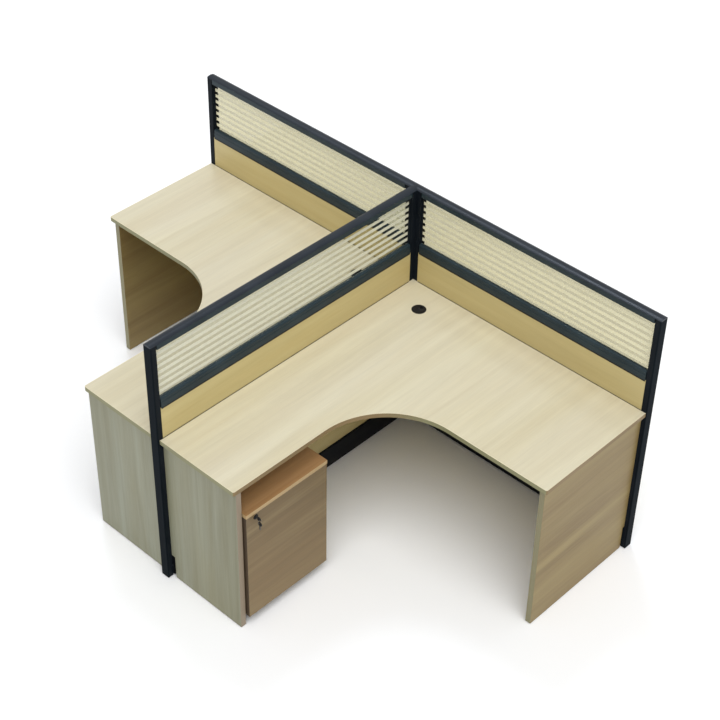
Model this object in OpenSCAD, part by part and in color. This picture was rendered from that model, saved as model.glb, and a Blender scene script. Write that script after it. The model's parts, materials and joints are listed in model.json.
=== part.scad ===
// Two-person workstation: a T of framed screens, two L-shaped desks and a mobile door cabinet
// The origin is the centre of the tee post at the floor, the spine screen runs along X,
// and the centre screen runs towards -Y between the two desks

/* [Desks] */
// Height of the desktops above the floor
desk_h = 740; // [700:5:780]
// Length of each desk along the spine screen
desk_w = 1200; // [1150:10:1500]
// Length of each desk along the centre screen
desk_l = 1400; // [1350:10:1700]
// Depth of the wing at the outer end
side_depth = 600; // [550:10:650]
// Depth of the wing at the near end
near_depth = 400; // [392:2:460]
// Radius of the curved inner corner
corner_r = 330; // [200:10:360]
// Radius of the free outer corners
free_corner_r = 8; // [4:1:20]
// Thickness of the desktops
top_t = 20; // [18:1:30]
// Thickness of the edging strip
edging_t = 2; // [1:0.5:3]
// Thickness of the end panels
panel_t = 25; // [18:1:28]
// Distance from a desktop's end to the end panel's outer face
panel_end_in = 15; // [8:1:20]
// Distance from the outer wing's front edge to its end panel's edge
side_panel_in = 14; // [2:1:20]
// Distance from the near wing's front edge to its end panel's edge
near_panel_in = 4; // [2:1:16]
// Width of the near panels' notch beyond the skirting
near_notch_gap = 11; // [2:1:14]
// Width of the side panels' notch beyond the skirting
side_notch_gap = 2; // [1:0.5:14]
// Height of the panels' notch above the skirting
notch_top_gap = 2; // [1:0.5:4]
// Height of the floor glides
glide_h = 4; // [3:1:7]
// Radius of the floor glides
glide_r = 10; // [7:1:11]
// Distance from a panel's end to its glide's centre
glide_in = 45; // [35:5:80]

/* [Screens] */
// Overall height of the screens
screen_h = 1190; // [1120:10:1400]
// Thickness of the screen frames
screen_t = 40; // [36:1:44]
// Reach of the spine screen past the desktops' outer ends
side_reach = 4; // [2:1:30]
// Reach of the centre screen past the desktops' near ends
near_reach = 10; // [2:1:30]
// Width of the stiles
stile_w = 25; // [24:1:32]
// Width of the stiles' rebate for the boards
rebate_w = 4; // [2:0.5:6]
// Height of the middle and bottom rails
rail_h = 25; // [22:1:32]
// Height of the top rail
top_rail_h = 22; // [18:1:28]
// Height of the underside of the middle rail
mid_rail_z = 887; // [830:1:930]
// Wall of the extruded profiles
wall = 1.8; // [1.4:0.1:2]
// Height of the crowned top cap
cap_h = 6; // [4:1:9]
// Straight edge at the foot of the cap's crown
cap_edge = 1; // [0.5:0.5:2]
// Thickness of the end trims
trim_t = 6; // [6:1:12]
// Corner radius of the end trims
trim_r = 3; // [2:0.5:3]
// Thickness of the glass
glass_t = 5; // [4:0.5:5.5]
// Depth of the glazing groove
groove_d = 7; // [5:0.5:8]
// Free play of the glass in its groove, in height and length
glass_play = 0.5; // [0.2:0.1:0.8]
// Height of the lowest frosted band's centre above the middle rail
band_start = 9; // [8:1:15]
// Pitch of the frosted bands
band_pitch = 29.6; // [24:0.1:40]
// Height of one frosted band
band_h = 15; // [10:1:20]
// Thickness of a frosted band
band_t = 0.4; // [0.2:0.1:0.4]
// Thickness of the lower boards of the screens
skin_t = 9; // [6:1:10]
// Depth of the boards behind the frame's face
skin_in = 1; // [0.5:0.5:2]

/* [Skirting and feet] */
// Height of the screens' frames above the floor
foot_h = 4; // [4:1:12]
// Thickness of the levelling feet's discs
foot_t = 2; // [1.5:0.5:2.5]
// Height of the skirting's lower edge above the floor
skirting_z = 12; // [8:1:20]
// Height of the cable skirting
skirting_h = 103; // [90:1:130]
// Reach of the skirting past the frame's face
skirting_out = 8; // [6:1:9]
// Thickness of the skirting's sheet
skirting_t = 1.5; // [1:0.1:2]
// Radius of the levelling feet
foot_r = 14; // [11:1:16]
// Radius of the levelling stems
stem_r = 4; // [3:0.5:4]
// Length of the levelling stem inside its bore
stem_in = 30; // [20:5:45]

/* [Cable outlets] */
// Distance of the outlet from the spine screen's centre plane
outlet_y = 155; // [130:5:200]
// Distance of the outlet from the centre screen's centre plane
outlet_x = 175; // [140:5:220]
// Radius of the hole in the desktop
outlet_r = 27; // [24:1:30]
// Width of the outlet ring's flange
outlet_flange = 4; // [3:0.5:8]
// Wall of the outlet ring's sleeve
outlet_wall = 2; // [1.5:0.5:3]
// Thickness of the outlet's cap
outlet_cap_t = 3; // [2:0.5:4]
// Width of the cable notch in the cap
outlet_notch = 14; // [10:1:18]

/* [Cabinet] */
// Width of the cabinet
cab_w = 424; // [400:2:470]
// Depth of the cabinet
cab_d = 390; // [360:2:398]
// Height of the cabinet with its castors
cab_h = 600; // [560:5:640]
// Thickness of the cabinet's top
cab_top_t = 18; // [16:1:30]
// Thickness of the cabinet's sides, bottom and shelf
cab_board = 16; // [15:0.5:19]
// Thickness of the cabinet's back
cab_back_t = 9; // [5:1:12]
// Distance that the cabinet stands out past the near wing
cab_proud = 14; // [0:1:16]
// Gap between the cabinet and the near end panel
cab_side_gap = 5; // [4:1:20]
// Thickness of the door
door_t = 18; // [16:0.5:19]
// Gap behind the closed door
door_gap = 2.5; // [2:0.1:3.5]
// Distance that the top covers the door's face
door_in = 2; // [1:0.5:4]
// Gap at the door's edges
door_edge_gap = 1; // [0.5:0.1:2]
// Depth of the shelf behind the cabinet's front
shelf_in = 12; // [8:1:40]
// Height of the shelf's top above the cabinet's inner floor
shelf_up = 255; // [180:5:300]
// Radius of the hinge pins
pin_r = 2; // [1.5:0.1:2.2]
// Wall of the hinge bushes
bush_wall = 2; // [1.5:0.1:2.2]
// Depth of the hinge bushes in the door
bush_l = 12; // [10:1:16]
// Thickness of the hinge plates
plate_t = 2; // [1.5:0.5:2.5]

/* [Lock] */
// Distance of the lock from the cabinet's side
lock_in = 49; // [46:1:52]
// Distance of the lock below the door's top edge
lock_down = 17; // [16:1:30]
// Radius of the lock's housing
lock_r = 9; // [8:0.5:10]
// Radius of the turning barrel
barrel_r = 6; // [5.5:0.1:6.5]
// Length of the cam from the lock's axis
cam_l = 38; // [37:0.5:40]
// Distance of the cam behind the door
cam_back = 9; // [8:0.5:12]
// Radius of the key's head
key_r = 10; // [8:0.5:11]
// Radius of the key ring
ring_r = 9; // [8:0.5:12]

/* [Castors] */
// Height of the castors
castor_h = 50; // [48:1:60]
// Radius of the castor wheels
wheel_r = 19; // [16:0.5:20]
// Width of one of a castor's two wheels
wheel_w = 9; // [7:0.5:11]
// Distance of the axle from the swivel's axis
castor_trail = 14; // [11:0.5:14]
// Distance of the castors from the cabinet's sides and back
castor_in = 42; // [41:1:60]
// Distance of the front castors from the cabinet's front
castor_front_in = 70; // [66:1:100]

/* [Hidden] */
$fn = 64;

frame_colour = [0.11, 0.14, 0.19];
desk_colour = [0.87, 0.82, 0.68];
board_colour = [0.78, 0.70, 0.48];
panel_colour = [0.66, 0.62, 0.50];
black = [0.06, 0.06, 0.07];
steel = [0.55, 0.56, 0.58];

// Screens: index 0 is right of the tee post, 1 left of it, 2 towards the viewer
s = screen_t / 2;
turn = [0, 180, -90];
spine_len = desk_w + side_reach - trim_t;
centre_len = desk_l + near_reach - trim_t;
frame_len = [spine_len, spine_len, centre_len];
cap_z = screen_h - cap_h;
top_rail_z = cap_z - top_rail_h;
glass_z = mid_rail_z + rail_h;
skirting_top = skirting_z + skirting_h;
bottom_rail_z = skirting_top - rail_h;
fit = 0.05;          // radial clearance of a turning shaft
seat_gap = 0.3;      // gap under a part that turns on its seat
board_play = 0.5;    // play of the boards in the frame
infill_x0 = stile_w - rebate_w + board_play;  // where boards and skirting covers begin
cut = 1;             // overshoot of a cut past a face
groove_w = 6;
slot_w = 8;
slot_lip = 2;
slot_inner_w = 14;
slot_d = 6.5;
boss_x = slot_d + 6;
clip_t = 1.2;
clip_l = 4;
clip_y = 2.6;

// Desks
desk_z = desk_h - top_t;
desk_x1 = s + desk_w;
desk_y1 = s + desk_l;
panel_x0 = desk_x1 - panel_end_in - panel_t;
panel_y0 = desk_y1 - panel_end_in - panel_t;
side_panel_l = side_depth - side_panel_in;
near_panel_l = near_depth - near_panel_in;
notch_z = skirting_top + notch_top_gap;

// Cabinet, in plan from its back to its front and from the near side to the far side
cab_x1 = s + near_depth + cab_proud;
cab_x0 = cab_x1 - cab_d;
cab_y0 = -panel_y0 + cab_side_gap;
cab_y1 = cab_y0 + cab_w;
cab_z1 = cab_h - cab_top_t;
door_x1 = cab_x1 - door_in;
door_x0 = door_x1 - door_t;
body_x1 = door_x0 - door_gap;
door_end_gap = 0.5;
door_z0 = castor_h + door_end_gap;
door_z1 = cab_z1 - plate_t - door_end_gap;
inner_z0 = castor_h + cab_board;
shelf_z = inner_z0 + shelf_up - cab_board;
hinge_x = door_x0 + door_t / 2;
hinge_in = 6;        // hinge axis from the door's edge
hinge_y = cab_y1 - door_edge_gap - hinge_in;
lock_y = cab_y0 + lock_in;
lock_z = door_z1 - lock_down;
cam_x = door_x0 - cam_back;
cam_t = 2;
cam_w = 10;
cam_slot_gap = 2;
castor_xs = [cab_x1 - castor_front_in, cab_x0 + castor_in];
castor_ys = [cab_y0 + castor_in, cab_y1 - castor_in];
castor_at = [for (x = castor_xs, y = castor_ys) [x, y]];

// A screen's own frame: x runs from the tee post's face to the end trim, y across, z up
module at_screen(i) rotate([0, 0, turn[i]]) translate([s, 0, 0]) children();

// Slot for connectors and clips, open at x = 0
module clip_slot() {
  translate([-cut, -slot_w / 2]) square([slot_lip + cut, slot_w]);
  translate([slot_lip, -slot_inner_w / 2]) square([slot_d - slot_lip, slot_inner_w]);
}

// Two closed chambers behind the faces of a profile w wide
module side_chambers(w) {
  inner = slot_inner_w / 2 + wall;
  for (m = [-1, 1]) {
    y = m > 0 ? inner : -s + wall;
    translate([wall, y]) square([w - 2 * wall - rebate_w, s - wall - inner]);
  }
}

// Extruded section, x from the clip slot to the glazing groove and y across the screen
module profile_section(w, has_slot, has_groove, has_bore) {
  difference() {
    translate([0, -s]) square([w, screen_t]);
    side_chambers(w);
    if (has_slot) clip_slot();
    if (has_groove) translate([w - groove_d, -groove_w / 2]) square([groove_d + cut, groove_w]);
    if (has_bore) translate([boss_x, 0]) circle(stem_r + fit);
  }
}

// Stiles, rebated on both faces for the boards
module stile() {
  rebate_d = skin_in + skin_t + board_play;
  translate([0, 0, foot_h]) linear_extrude(cap_z - foot_h) difference() {
    profile_section(stile_w, true, true, true);
    for (m = [-1, 1]) translate([stile_w - rebate_w, m > 0 ? s - rebate_d : -s - cut])
      square([rebate_w + cut, rebate_d + cut]);
  }
}

module screen_stiles(i) {
  color(frame_colour) at_screen(i) {
    stile();
    translate([frame_len[i], 0, 0]) mirror([1, 0, 0]) stile();
  }
}

// A rail lies between the stiles, its section turned so that its slot or its groove faces up
module rail(i, z, h, slot_up, has_slot, has_groove) {
  l = frame_len[i] - 2 * stile_w;
  translate([stile_w, 0, slot_up ? z + h : z])
    rotate([0, slot_up ? 90 : -90, 0])
      translate([0, 0, slot_up ? 0 : -l])
        linear_extrude(l) profile_section(h, has_slot, has_groove, false);
}

module screen_rails(i) {
  color(frame_colour) at_screen(i) {
    rail(i, top_rail_z, top_rail_h, true, true, true);
    rail(i, mid_rail_z, rail_h, false, false, true);
    rail(i, bottom_rail_z, rail_h, false, true, false);
  }
}

// Crowned top caps, mitred where they meet over the tee post
cap_rise = cap_h - cap_edge;
crown_r = (s * s + cap_rise * cap_rise) / (2 * cap_rise);

module cap_section() {
  intersection() {
    translate([-s, 0]) square([screen_t, cap_h]);
    translate([0, cap_h - crown_r]) circle(crown_r, $fn = 128);
  }
}

module cap_clips() {
  for (m = [-1, 1]) translate([m * clip_y - clip_t / 2, -clip_l]) square([clip_t, clip_l + cut]);
}

module cap_plan(i) {
  l = s + frame_len[i] + trim_t;
  c = trim_r / 2;
  front = [[l - c, s], [l, s - c], [l, -s + c], [l - c, -s]];
  inner = i == 0 ? [[s, -s], [0, 0], [0, s]] : i == 1 ? [[0, -s], [0, 0], [s, s]] : [[s, -s], [0, 0], [s, s]];
  polygon(concat(front, inner));
}

module top_cap(i) {
  clip_x = s + stile_w + board_play;
  color(frame_colour) rotate([0, 0, turn[i]]) {
    intersection() {
      translate([0, 0, cap_z]) rotate([90, 0, 90])
        linear_extrude(s + frame_len[i] + trim_t) cap_section();
      translate([0, 0, cap_z]) linear_extrude(cap_h + cut) cap_plan(i);
    }
    translate([clip_x, 0, cap_z]) rotate([90, 0, 90])
      linear_extrude(frame_len[i] - 2 * stile_w - 2 * board_play) cap_clips();
  }
}

// End trims, clipped into the outer stiles
module end_trim(i) {
  color(frame_colour) at_screen(i) translate([frame_len[i], 0, foot_h])
    linear_extrude(cap_z - foot_h) {
      translate([0, -s]) square([trim_t - trim_r, screen_t]);
      translate([0, -s + trim_r]) square([trim_t, screen_t - 2 * trim_r]);
      for (m = [-1, 1]) translate([trim_t - trim_r, m * (s - trim_r)]) circle(trim_r);
      for (m = [-1, 1]) translate([-clip_l, m * clip_y - clip_t / 2]) square([clip_l + cut, clip_t]);
    }
}

// Tee post, with a connector slot towards each of the three screens
module tee_post() {
  color(frame_colour) translate([0, 0, foot_h]) linear_extrude(cap_z - foot_h) difference() {
    translate([-s, -s]) square(screen_t);
    for (a = turn) rotate([0, 0, a + 180]) translate([-s, 0]) clip_slot();
    circle(stem_r + fit);
    for (a = [0, 90, 180, 270]) rotate([0, 0, a + 45]) translate([slot_inner_w, 0])
      square(2 * wall, center = true);
  }
}

// Glass, standing in the groove of the middle rail
module glass(i) {
  x0 = stile_w - groove_d + glass_play;
  z0 = glass_z - groove_d;
  z1 = top_rail_z + groove_d - glass_play;
  color([0.93, 0.90, 0.74, 0.5]) at_screen(i) translate([x0, -glass_t / 2, z0])
    cube([frame_len[i] - 2 * x0, glass_t, z1 - z0]);
}

// Frosted bands on the users' face of each glass, counted up from the middle rail
users_side = [1, 0, 0];  // 1 where that face is the one towards negative y in the screen's own frame

module frosted_bands() {
  band_n = ceil((top_rail_z - glass_z - band_start) / band_pitch);
  color([0.90, 0.87, 0.74]) for (i = [0, 1, 2], k = [0:band_n]) at_screen(i) mirror([0, users_side[i], 0]) {
    z = glass_z + band_start + k * band_pitch;
    z0 = max(glass_z + board_play, z - band_h / 2);
    z1 = min(top_rail_z - board_play, z + band_h / 2);
    if (z1 - z0 > 1) translate([stile_w + board_play, glass_t / 2, z0])
      cube([frame_len[i] - 2 * stile_w - 2 * board_play, band_t, z1 - z0]);
  }
}

// Lower boards, one on each side of a screen, with the cable space between them
module boards(i) {
  z0 = skirting_top;
  color(board_colour) at_screen(i) for (m = [0, 1]) mirror([0, m, 0])
    translate([infill_x0, s - skin_in - skin_t, z0])
      cube([frame_len[i] - 2 * infill_x0, skin_t, mid_rail_z - board_play - z0]);
}

// Folded skirting covers with closed ends, hooked on the faces of the bottom rail
module skirting_outline() {
  fold_r = 2 * skirting_t;
  square([skirting_out, skirting_h - fold_r]);
  square([skirting_out - fold_r, skirting_h]);
  translate([skirting_out - fold_r, skirting_h - fold_r]) circle(fold_r);
}

module skirting_cover(l) {
  linear_extrude(l) difference() {
    skirting_outline();
    translate([-cut, skirting_t])
      square([skirting_out - skirting_t + cut, skirting_h - 2 * skirting_t]);
  }
  for (end_x = [0, l - skirting_t]) translate([0, 0, end_x])
    linear_extrude(skirting_t) skirting_outline();
}

module skirting(i) {
  color(black) at_screen(i) for (m = [0, 1]) mirror([0, m, 0])
    translate([infill_x0, s, skirting_z]) rotate([90, 0, 90])
      skirting_cover(frame_len[i] - 2 * infill_x0);
}

// Levelling feet: a stem in the post's or stile's bore, a hexagon and a broad disc
foot_bevel = 5;
hex_r = 7;

module leveller() {
  color(steel) {
    rotate_extrude() polygon([
      [0, 0], [foot_r, 0], [foot_r, foot_t / 2], [foot_r - foot_bevel, foot_t], [0, foot_t]]);
    cylinder(r = hex_r, h = foot_h - seat_gap, $fn = 6);
    translate([0, 0, foot_t]) cylinder(r = stem_r, h = foot_h - foot_t + stem_in);
  }
}

module screen_leveller(i) at_screen(i) translate([frame_len[i] - boss_x, 0, 0]) leveller();

// Plan of the right desk, drawn in by d along its edges
module corner_cut(r) {
  difference() {
    translate([-cut, -cut]) square(r + cut);
    translate([r, r]) circle(r);
  }
}

module desk_plan(d) {
  r = corner_r + d;
  c = free_corner_r - d;
  difference() {
    union() {
      translate([s + d, -s - side_depth + d]) square([desk_w - 2 * d, side_depth - 2 * d]);
      translate([s + d, -s - desk_l + d]) square([near_depth - 2 * d, desk_l - 2 * d]);
      difference() {
        translate([s + near_depth - d - cut, -s - side_depth + d - r]) square([r + cut, r + cut]);
        translate([s + near_depth + corner_r, -s - side_depth - corner_r]) circle(r, $fn = 128);
      }
    }
    translate([desk_x1 - d, -s - side_depth + d]) rotate([0, 0, 90]) corner_cut(c);
    translate([s + near_depth - d, -desk_y1 + d]) rotate([0, 0, 90]) corner_cut(c);
    translate([outlet_x, -outlet_y]) circle(outlet_r);
  }
}

module desktop(m) {
  color(desk_colour) mirror([m, 0, 0]) difference() {
    translate([0, 0, desk_z]) linear_extrude(top_t) desk_plan(edging_t);
    translate([outlet_x, -outlet_y, ring_z]) cylinder(r = flange_r + fit, h = outlet_cap_t + cut);
  }
}

module desktop_edging() {
  color(board_colour) for (m = [0, 1]) mirror([m, 0, 0]) translate([0, 0, desk_z])
    linear_extrude(top_t) difference() {
      desk_plan(0);
      difference() {
        desk_plan(edging_t);
        translate([outlet_x, -outlet_y]) circle(outlet_r);
      }
      translate([outlet_x, -outlet_y]) circle(outlet_r + cut);
    }
}

// End panels, seen flat as length by height, notched at the foot for the skirting
module panel_face(l, notch_gap) {
  difference() {
    square([l, desk_z - glide_h]);
    translate([-cut, -cut]) square([skirting_out + notch_gap + cut, notch_z - glide_h + cut]);
  }
}

module side_panel(m) {
  color(panel_colour) mirror([m, 0, 0]) translate([panel_x0 + panel_t, -s, glide_h])
    rotate([90, 0, -90]) linear_extrude(panel_t) panel_face(side_panel_l, side_notch_gap);
}

module near_panel(m) {
  color(panel_colour) mirror([m, 0, 0]) translate([s, -panel_y0, glide_h])
    rotate([90, 0, 0]) linear_extrude(panel_t) panel_face(near_panel_l, near_notch_gap);
}

// Floor glides under the ends of the panels
module floor_glides() {
  color(black) for (m = [0, 1]) mirror([m, 0, 0]) {
    for (y = [glide_in, side_panel_l - glide_in])
      translate([panel_x0 + panel_t / 2, -s - y, 0]) cylinder(r = glide_r, h = glide_h);
    for (x = [glide_in, near_panel_l - glide_in])
      translate([s + x, -panel_y0 - panel_t / 2, 0]) cylinder(r = glide_r, h = glide_h);
  }
}

// Steel brackets: a gusset at the tee post and angle cleats at the end panels
gusset_in = 3;
gusset_t = 3;
flange_lip = 15;
gusset_h = 110;
gusset_l = 230;
flange_w = 34;
cleat = 30;
cleat_t = 2;
cleat_l = 40;
cleat_in = 95;

module gusset() {
  x0 = s + gusset_in;
  translate([x0, -s - gusset_t, desk_z - gusset_h])
    cube([stile_w - rebate_w - gusset_in, gusset_t, gusset_h]);
  translate([x0, -s - gusset_l, desk_z - gusset_t]) cube([flange_w, gusset_l, gusset_t]);
  translate([x0, -s, desk_z]) rotate([90, 0, -90]) mirror([0, 0, 1]) linear_extrude(gusset_t)
    polygon([[0, 0], [gusset_l, 0], [gusset_l, -flange_lip], [2 * gusset_t, -gusset_h], [0, -gusset_h]]);
}

module angle_cleat() {
  translate([-cleat_t, -cleat_l / 2, -cleat]) cube([cleat_t, cleat_l, cleat]);
  translate([-cleat, -cleat_l / 2, -cleat_t]) cube([cleat, cleat_l, cleat_t]);
}

module desk_brackets() {
  color(steel) for (m = [0, 1]) mirror([m, 0, 0]) {
    gusset();
    for (y = [cleat_in, side_panel_l - cleat_in]) translate([panel_x0, -s - y, desk_z]) angle_cleat();
    for (x = [cleat_in, near_panel_l - cleat_in]) translate([s + x, -panel_y0, desk_z])
      rotate([0, 0, -90]) angle_cleat();
  }
}

// Cable outlets: a flanged ring let in flush with the desktop, and a cap that turns on its ledge
ledge_w = 3;
ledge_t = 2;
sleeve_l = 16;
flange_edge = 0.5;
cap_fit = 0.08;
ring_z = desk_h - outlet_cap_t;
flange_r = outlet_r + outlet_flange;
sleeve_r = outlet_r - fit;
ring_in_r = sleeve_r - outlet_wall;

module outlet_rings() {
  color(black) for (m = [-1, 1]) translate([m * outlet_x, -outlet_y, ring_z])
    rotate_extrude() polygon([
      [ring_in_r - ledge_w, -ledge_t], [ring_in_r - ledge_w, 0], [ring_in_r, 0], [ring_in_r, outlet_cap_t],
      [flange_r - flange_edge, outlet_cap_t], [flange_r, outlet_cap_t - flange_edge], [flange_r, 0],
      [sleeve_r, 0], [sleeve_r, -sleeve_l], [ring_in_r, -sleeve_l], [ring_in_r, -ledge_t]]);
}

module outlet_cap(m) {
  notch_end = outlet_notch;
  color(black) translate([m * outlet_x, -outlet_y, ring_z]) difference() {
    cylinder(r = ring_in_r - cap_fit, h = outlet_cap_t);
    translate([-outlet_notch / 2, notch_end, -cut]) cube([outlet_notch, outlet_r, outlet_cap_t + 2 * cut]);
    translate([0, notch_end, -cut]) cylinder(r = outlet_notch / 2, h = outlet_cap_t + 2 * cut);
  }
}

// Cabinet carcass
module cabinet_top() {
  color(desk_colour) translate([cab_x0, cab_y0, cab_z1]) cube([cab_d, cab_w, cab_top_t]);
}

module cabinet_sides() {
  cam_side = lock_in - cab_board;
  slot_depth = cam_l - cam_side + cam_slot_gap;
  slot_down = sqrt(cam_l * cam_l - cam_side * cam_side) + cam_slot_gap;
  color(panel_colour) difference() {
    for (y = [cab_y0, cab_y1 - cab_board])
      translate([cab_x0, y, castor_h]) cube([body_x1 - cab_x0, cab_board, cab_z1 - castor_h]);
    translate([cam_x - cam_slot_gap / 2, cab_y0 + cab_board - slot_depth, lock_z - slot_down])
      cube([cam_t + cam_slot_gap, slot_depth + cut, slot_down + cam_w / 2 + cam_slot_gap]);
    shelf_pegs(peg_r + fit, peg_l + 1);
  }
}

module shelf_pegs(r, l) {
  for (x = [cab_x0 + peg_in, body_x1 - peg_in], y = [cab_y0 + cab_board, cab_y1 - cab_board])
    translate([x, y, shelf_z - peg_r]) rotate([90, 0, 0]) cylinder(r = r, h = l, center = true);
}

module cabinet_bottom() {
  color(panel_colour) translate([cab_x0, cab_y0 + cab_board, castor_h])
    cube([body_x1 - cab_x0, cab_w - 2 * cab_board, cab_board]);
}

module cabinet_back() {
  color(panel_colour) translate([cab_x0, cab_y0 + cab_board, inner_z0])
    cube([cab_back_t, cab_w - 2 * cab_board, cab_z1 - inner_z0]);
}

module cabinet_shelf() {
  color(panel_colour) translate([cab_x0 + cab_back_t + board_play, cab_y0 + cab_board + board_play, shelf_z])
    cube([body_x1 - shelf_in - cab_x0 - cab_back_t - board_play,
          cab_w - 2 * cab_board - 2 * board_play, cab_board]);
}

// Hinge plates with their pins, and the shelf's four pegs
plate_reach = 5;
plate_back = 22;
plate_wide = 30;
peg_r = 3;
peg_l = 16;
peg_in = 60;

module cabinet_fittings() {
  tail_y = cab_y1 - cab_board - board_play;
  px0 = body_x1 - plate_back;
  px1 = hinge_x + plate_reach;
  edge_y = cab_y1 - door_edge_gap;
  color(steel) {
    translate([0, 0, cab_z1 - plate_t]) linear_extrude(plate_t) polygon([
      [px0, tail_y - plate_wide], [px1, tail_y - plate_wide], [px1, edge_y],
      [body_x1 + 0.5, edge_y], [body_x1 + 0.5, tail_y], [px0, tail_y]]);
    translate([hinge_x, hinge_y, cab_z1 - plate_t - bush_l + 1]) cylinder(r = pin_r, h = bush_l);
    translate([px0, tail_y - plate_wide / 2, castor_h - plate_t])
      cube([px1 - px0, edge_y - tail_y + plate_wide / 2, plate_t]);
    translate([hinge_x, hinge_y, castor_h - 1]) cylinder(r = pin_r, h = bush_l);
    shelf_pegs(peg_r, peg_l);
  }
}

// Door, bored for its hinge bushes and its lock
bush_r = pin_r + fit + bush_wall;

module cabinet_door() {
  color(board_colour) difference() {
    translate([door_x0, cab_y0 + door_edge_gap, door_z0])
      cube([door_t, cab_w - 2 * door_edge_gap, door_z1 - door_z0]);
    translate([hinge_x, hinge_y, door_z0 - cut]) cylinder(r = bush_r, h = bush_l + cut);
    translate([hinge_x, hinge_y, door_z1 - bush_l]) cylinder(r = bush_r, h = bush_l + cut);
    translate([door_x0 - cut, lock_y, lock_z]) rotate([0, 90, 0])
      cylinder(r = lock_r, h = door_t + 2 * cut);
  }
}

module hinge_bushes() {
  color(black) for (z = [door_z0, door_z1 - bush_l]) translate([hinge_x, hinge_y, z]) difference() {
    cylinder(r = bush_r, h = bush_l);
    translate([0, 0, -cut]) cylinder(r = pin_r + fit, h = bush_l + 2 * cut);
  }
}

// Cam lock: a flanged housing, a barrel with its cam, a key and the ring with the spare key
module along_x(x) translate([x, lock_y, lock_z]) rotate([0, 90, 0]) children();
housing_back = 4;
flange_t = 1.6;
rosette = 2.5;
lock_nut = 4;
lock_nut_t = 3;
barrel_back = 3;
key_play = 0.2;
key_slot_l = 15;
key_blade_t = 2;
key_blade_w = 7;
key_head_t = 2.4;
key_neck = 5;
key_hole_r = 2.2;
key_hole_edge = 2.5;
key_sink = 1.5;
wire_r = 0.8;

module lock_housing() {
  color(steel) difference() {
    union() {
      along_x(door_x0 - housing_back) cylinder(r = lock_r, h = door_t + housing_back + flange_t);
      along_x(door_x1) cylinder(r1 = lock_r + rosette, r2 = lock_r + rosette - 1, h = flange_t);
      along_x(door_x0 - lock_nut_t) cylinder(r = lock_r + lock_nut, h = lock_nut_t, $fn = 6);
    }
    along_x(door_x0 - housing_back - cut)
      cylinder(r = barrel_r + fit, h = door_t + housing_back + flange_t + 2 * cut);
  }
}

module lock_barrel() {
  slot_x = door_x1 + flange_t - key_slot_l;
  color(steel) {
    difference() {
      along_x(cam_x - barrel_back) cylinder(r = barrel_r, h = door_x1 + flange_t - cam_x + barrel_back);
      translate([slot_x, lock_y - key_blade_t / 2 - key_play, lock_z - key_blade_w / 2 - key_play])
        cube([key_slot_l + cut, key_blade_t + 2 * key_play, key_blade_w + 2 * key_play]);
    }
    along_x(cam_x) cylinder(r = barrel_r + 2, h = cam_t);
    translate([cam_x, lock_y - cam_w / 2, lock_z - cam_l + cam_w / 2])
      cube([cam_t, cam_w, cam_l - cam_w / 2]);
    translate([cam_x, lock_y, lock_z - cam_l + cam_w / 2]) rotate([0, 90, 0])
      cylinder(r = cam_w / 2, h = cam_t);
  }
}

// A key lies along x from the tip of its blade, its head upright and bored across
module key_shape(blade) {
  head_x = blade + key_neck + key_r - key_sink;
  difference() {
    union() {
      translate([0, -key_blade_t / 2, -key_blade_w / 2]) cube([blade + key_neck, key_blade_t, key_blade_w]);
      translate([blade, -key_head_t / 2, -key_blade_w / 2 - 1]) cube([key_neck, key_head_t, key_blade_w + 2]);
      translate([head_x, 0, 0]) rotate([90, 0, 0]) cylinder(r = key_r, h = key_head_t, center = true);
    }
    translate([key_hole_at(blade), 0, 0]) rotate([90, 0, 0])
      cylinder(r = key_hole_r, h = key_head_t + 2 * cut, center = true);
  }
}

function key_hole_at(blade) = blade + key_neck + 2 * key_r - key_sink - key_hole_r - key_hole_edge;
key_tip_x = door_x1 + flange_t - key_slot_l + 1;
blade_l = key_slot_l + 1;
ring_x = key_tip_x + key_hole_at(blade_l);

module door_key() {
  color(black) translate([key_tip_x, lock_y, lock_z]) key_shape(blade_l);
}

module key_ring() {
  hang = key_hole_r - wire_r - 0.3;
  top_z = lock_z - hang;
  low_z = top_z - 2 * ring_r;
  spare_z = low_z + hang;
  color(steel) translate([ring_x, lock_y, top_z - ring_r]) rotate([0, 90, 0])
    rotate_extrude() translate([ring_r, 0]) circle(wire_r, $fn = 16);
  color(black) translate([ring_x, lock_y, spare_z - key_hole_at(blade_l)])
    rotate([0, -90, 0]) key_shape(blade_l);
}

// Castors: plate and swivel stem, hood with its web, and twin wheels on one axle
plate_half = 19;
plate_hole_at = 14;
plate_hole_r = 2.2;
swivel_r = 4;
hood_wall = 1.7;
wheel_gap = 1.3;
web_t = 7;
side_gap = 0.5;
hood_drop = 5;
axle_r = 3;
hood_r = wheel_r + wheel_gap + hood_wall;
hood_w = web_t + 2 * side_gap + 2 * wheel_w + 2;
boss_r = 9;
boss_lap = 5;
boss_sink = 3;
boss_z0 = wheel_r + sqrt(pow(wheel_r + wheel_gap, 2) - pow(castor_trail - boss_lap, 2)) - boss_sink;
boss_z1 = castor_h - plate_t - seat_gap;
socket_l = 12;
socket_z0 = boss_z1 - socket_l;

module castor_plates() {
  color(steel) for (at = castor_at) translate([at[0], at[1], 0]) {
    difference() {
      translate([-plate_half, -plate_half, castor_h - plate_t])
        cube([2 * plate_half, 2 * plate_half, plate_t]);
      for (x = [-1, 1], y = [-1, 1])
        translate([x * plate_hole_at, y * plate_hole_at, castor_h - plate_t - cut])
          cylinder(r = plate_hole_r, h = plate_t + 2 * cut);
    }
    translate([0, 0, socket_z0 + seat_gap]) cylinder(r = swivel_r, h = castor_h - plate_t - socket_z0);
  }
}

module wheel_axis() translate([-castor_trail, 0, wheel_r]) rotate([90, 0, 0]) children();

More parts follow.
